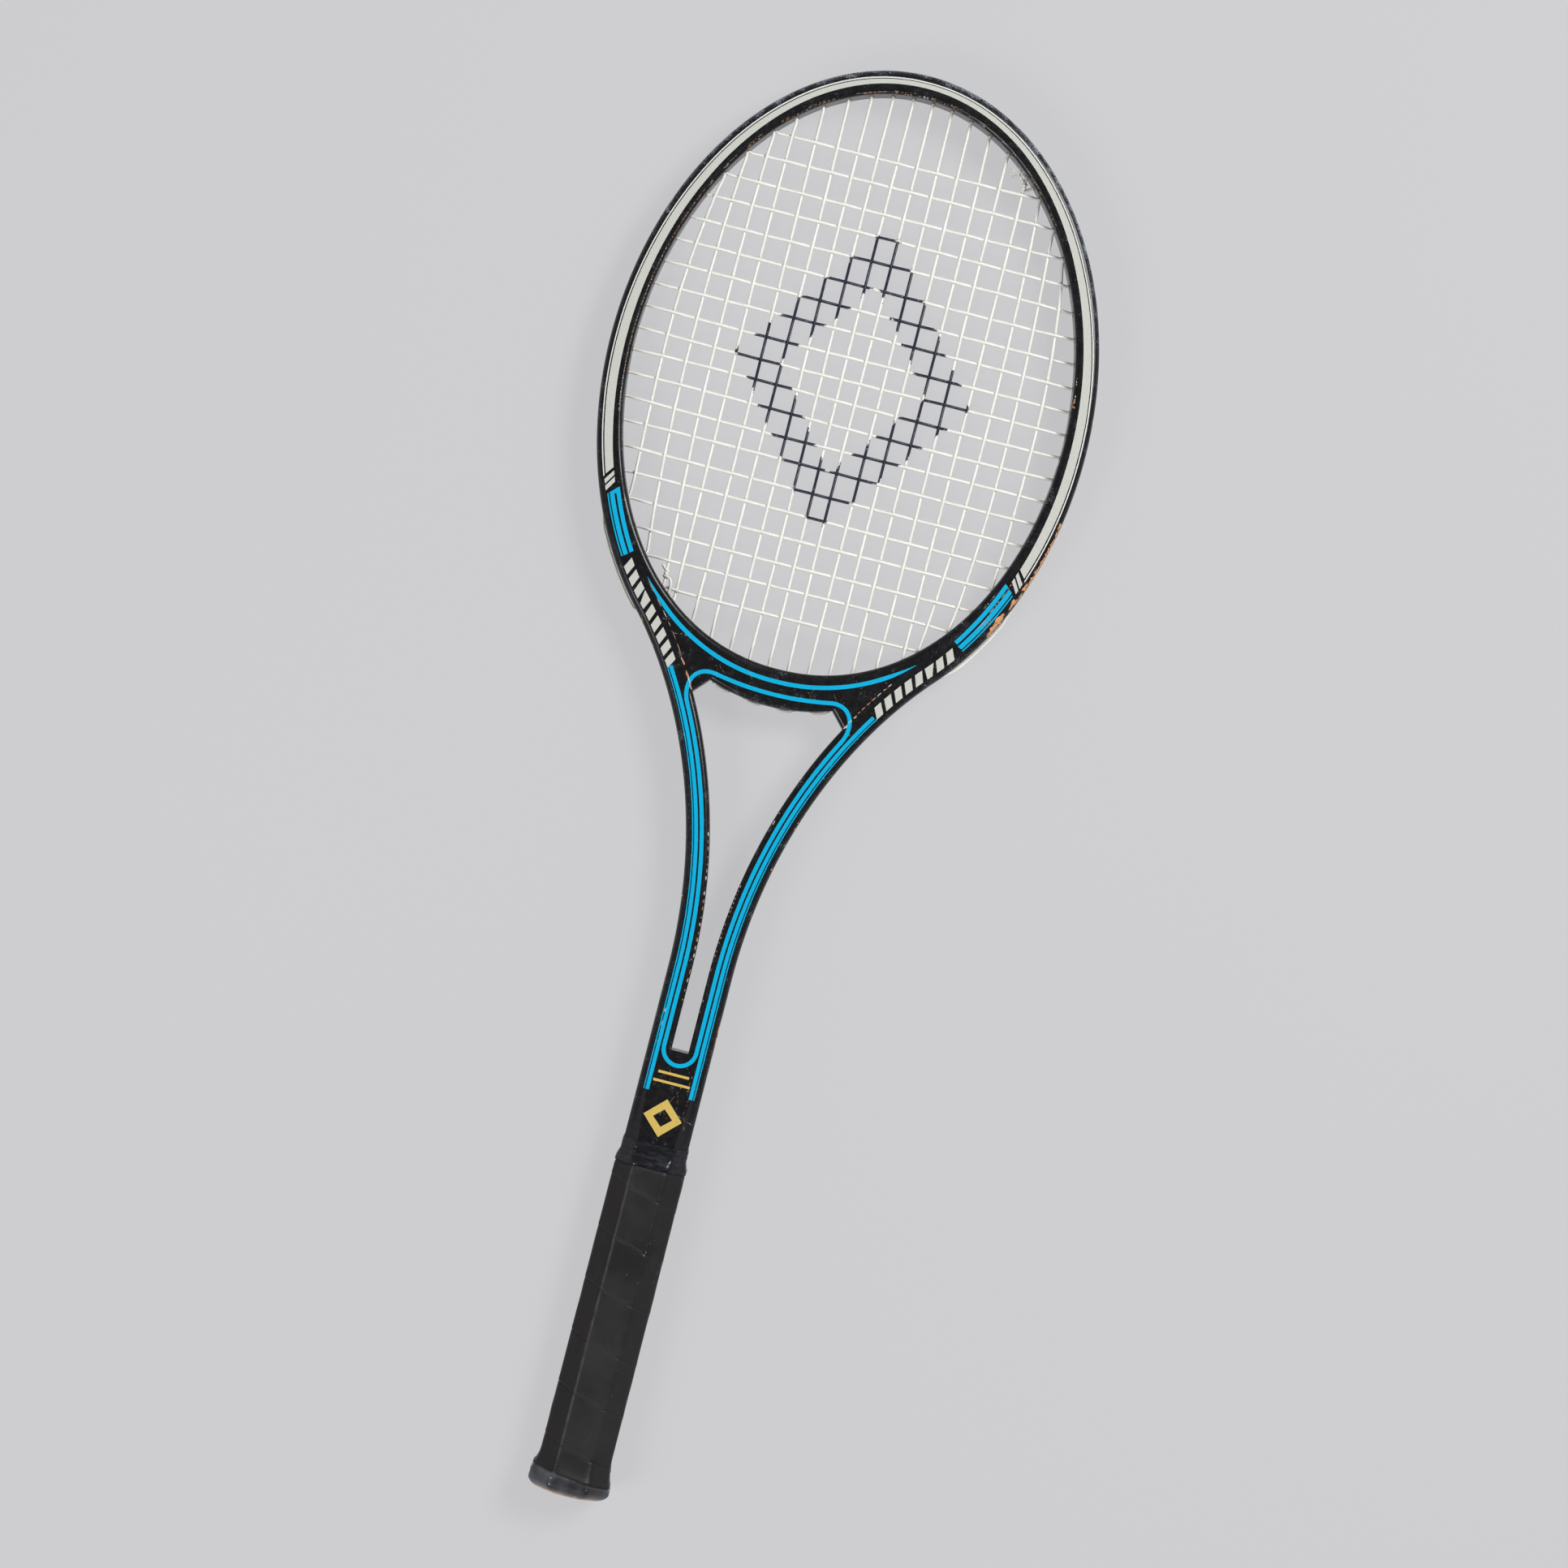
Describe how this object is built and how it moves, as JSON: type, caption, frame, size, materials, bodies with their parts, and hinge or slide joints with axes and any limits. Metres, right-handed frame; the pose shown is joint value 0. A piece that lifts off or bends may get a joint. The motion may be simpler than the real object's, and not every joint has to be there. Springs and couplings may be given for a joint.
{
  "type": "wooden tennis racket",
  "caption": "Worn black lacquered wooden tennis racket with an oval strung head, an open triangular throat, pale stripes along the bow and a spiral leather grip.",
  "frame": {"origin": "middle of the overall length and width, at the height of the butt's lowest flat", "axes": "+Y from the butt to the tip of the head, +X across the face, +Z out of the front face"},
  "size_m": [0.2292, 0.686, 0.0344],
  "materials": {
    "black_lacquered_wood": "gloss black lacquer with pale and blue stripes",
    "lacquered_bridge_wood": "gloss black lacquer",
    "grip_leather": "worn black leather",
    "black_tape": "glossy black tape",
    "cream_string": "smooth cream nylon"
  },
  "bodies": {
    "root": {"bow_outer_ply": "black_lacquered_wood", "bow_second_ply": "black_lacquered_wood", "bow_third_ply": "black_lacquered_wood", "bow_inner_ply": "black_lacquered_wood", "bridge_string_ply": "black_lacquered_wood", "bridge_throat_ply": "black_lacquered_wood", "heel_wedge": "black_lacquered_wood", "handle_cheek_front": "black_lacquered_wood", "handle_cheek_back": "black_lacquered_wood", "butt_collar": "black_lacquered_wood", "butt_cap": "black_lacquered_wood", "bridge_core": "lacquered_bridge_wood", "grip_wrap": "grip_leather", "grip_collar_tape": "black_tape", "string": "cream_string"}
  },
  "joints": []
}
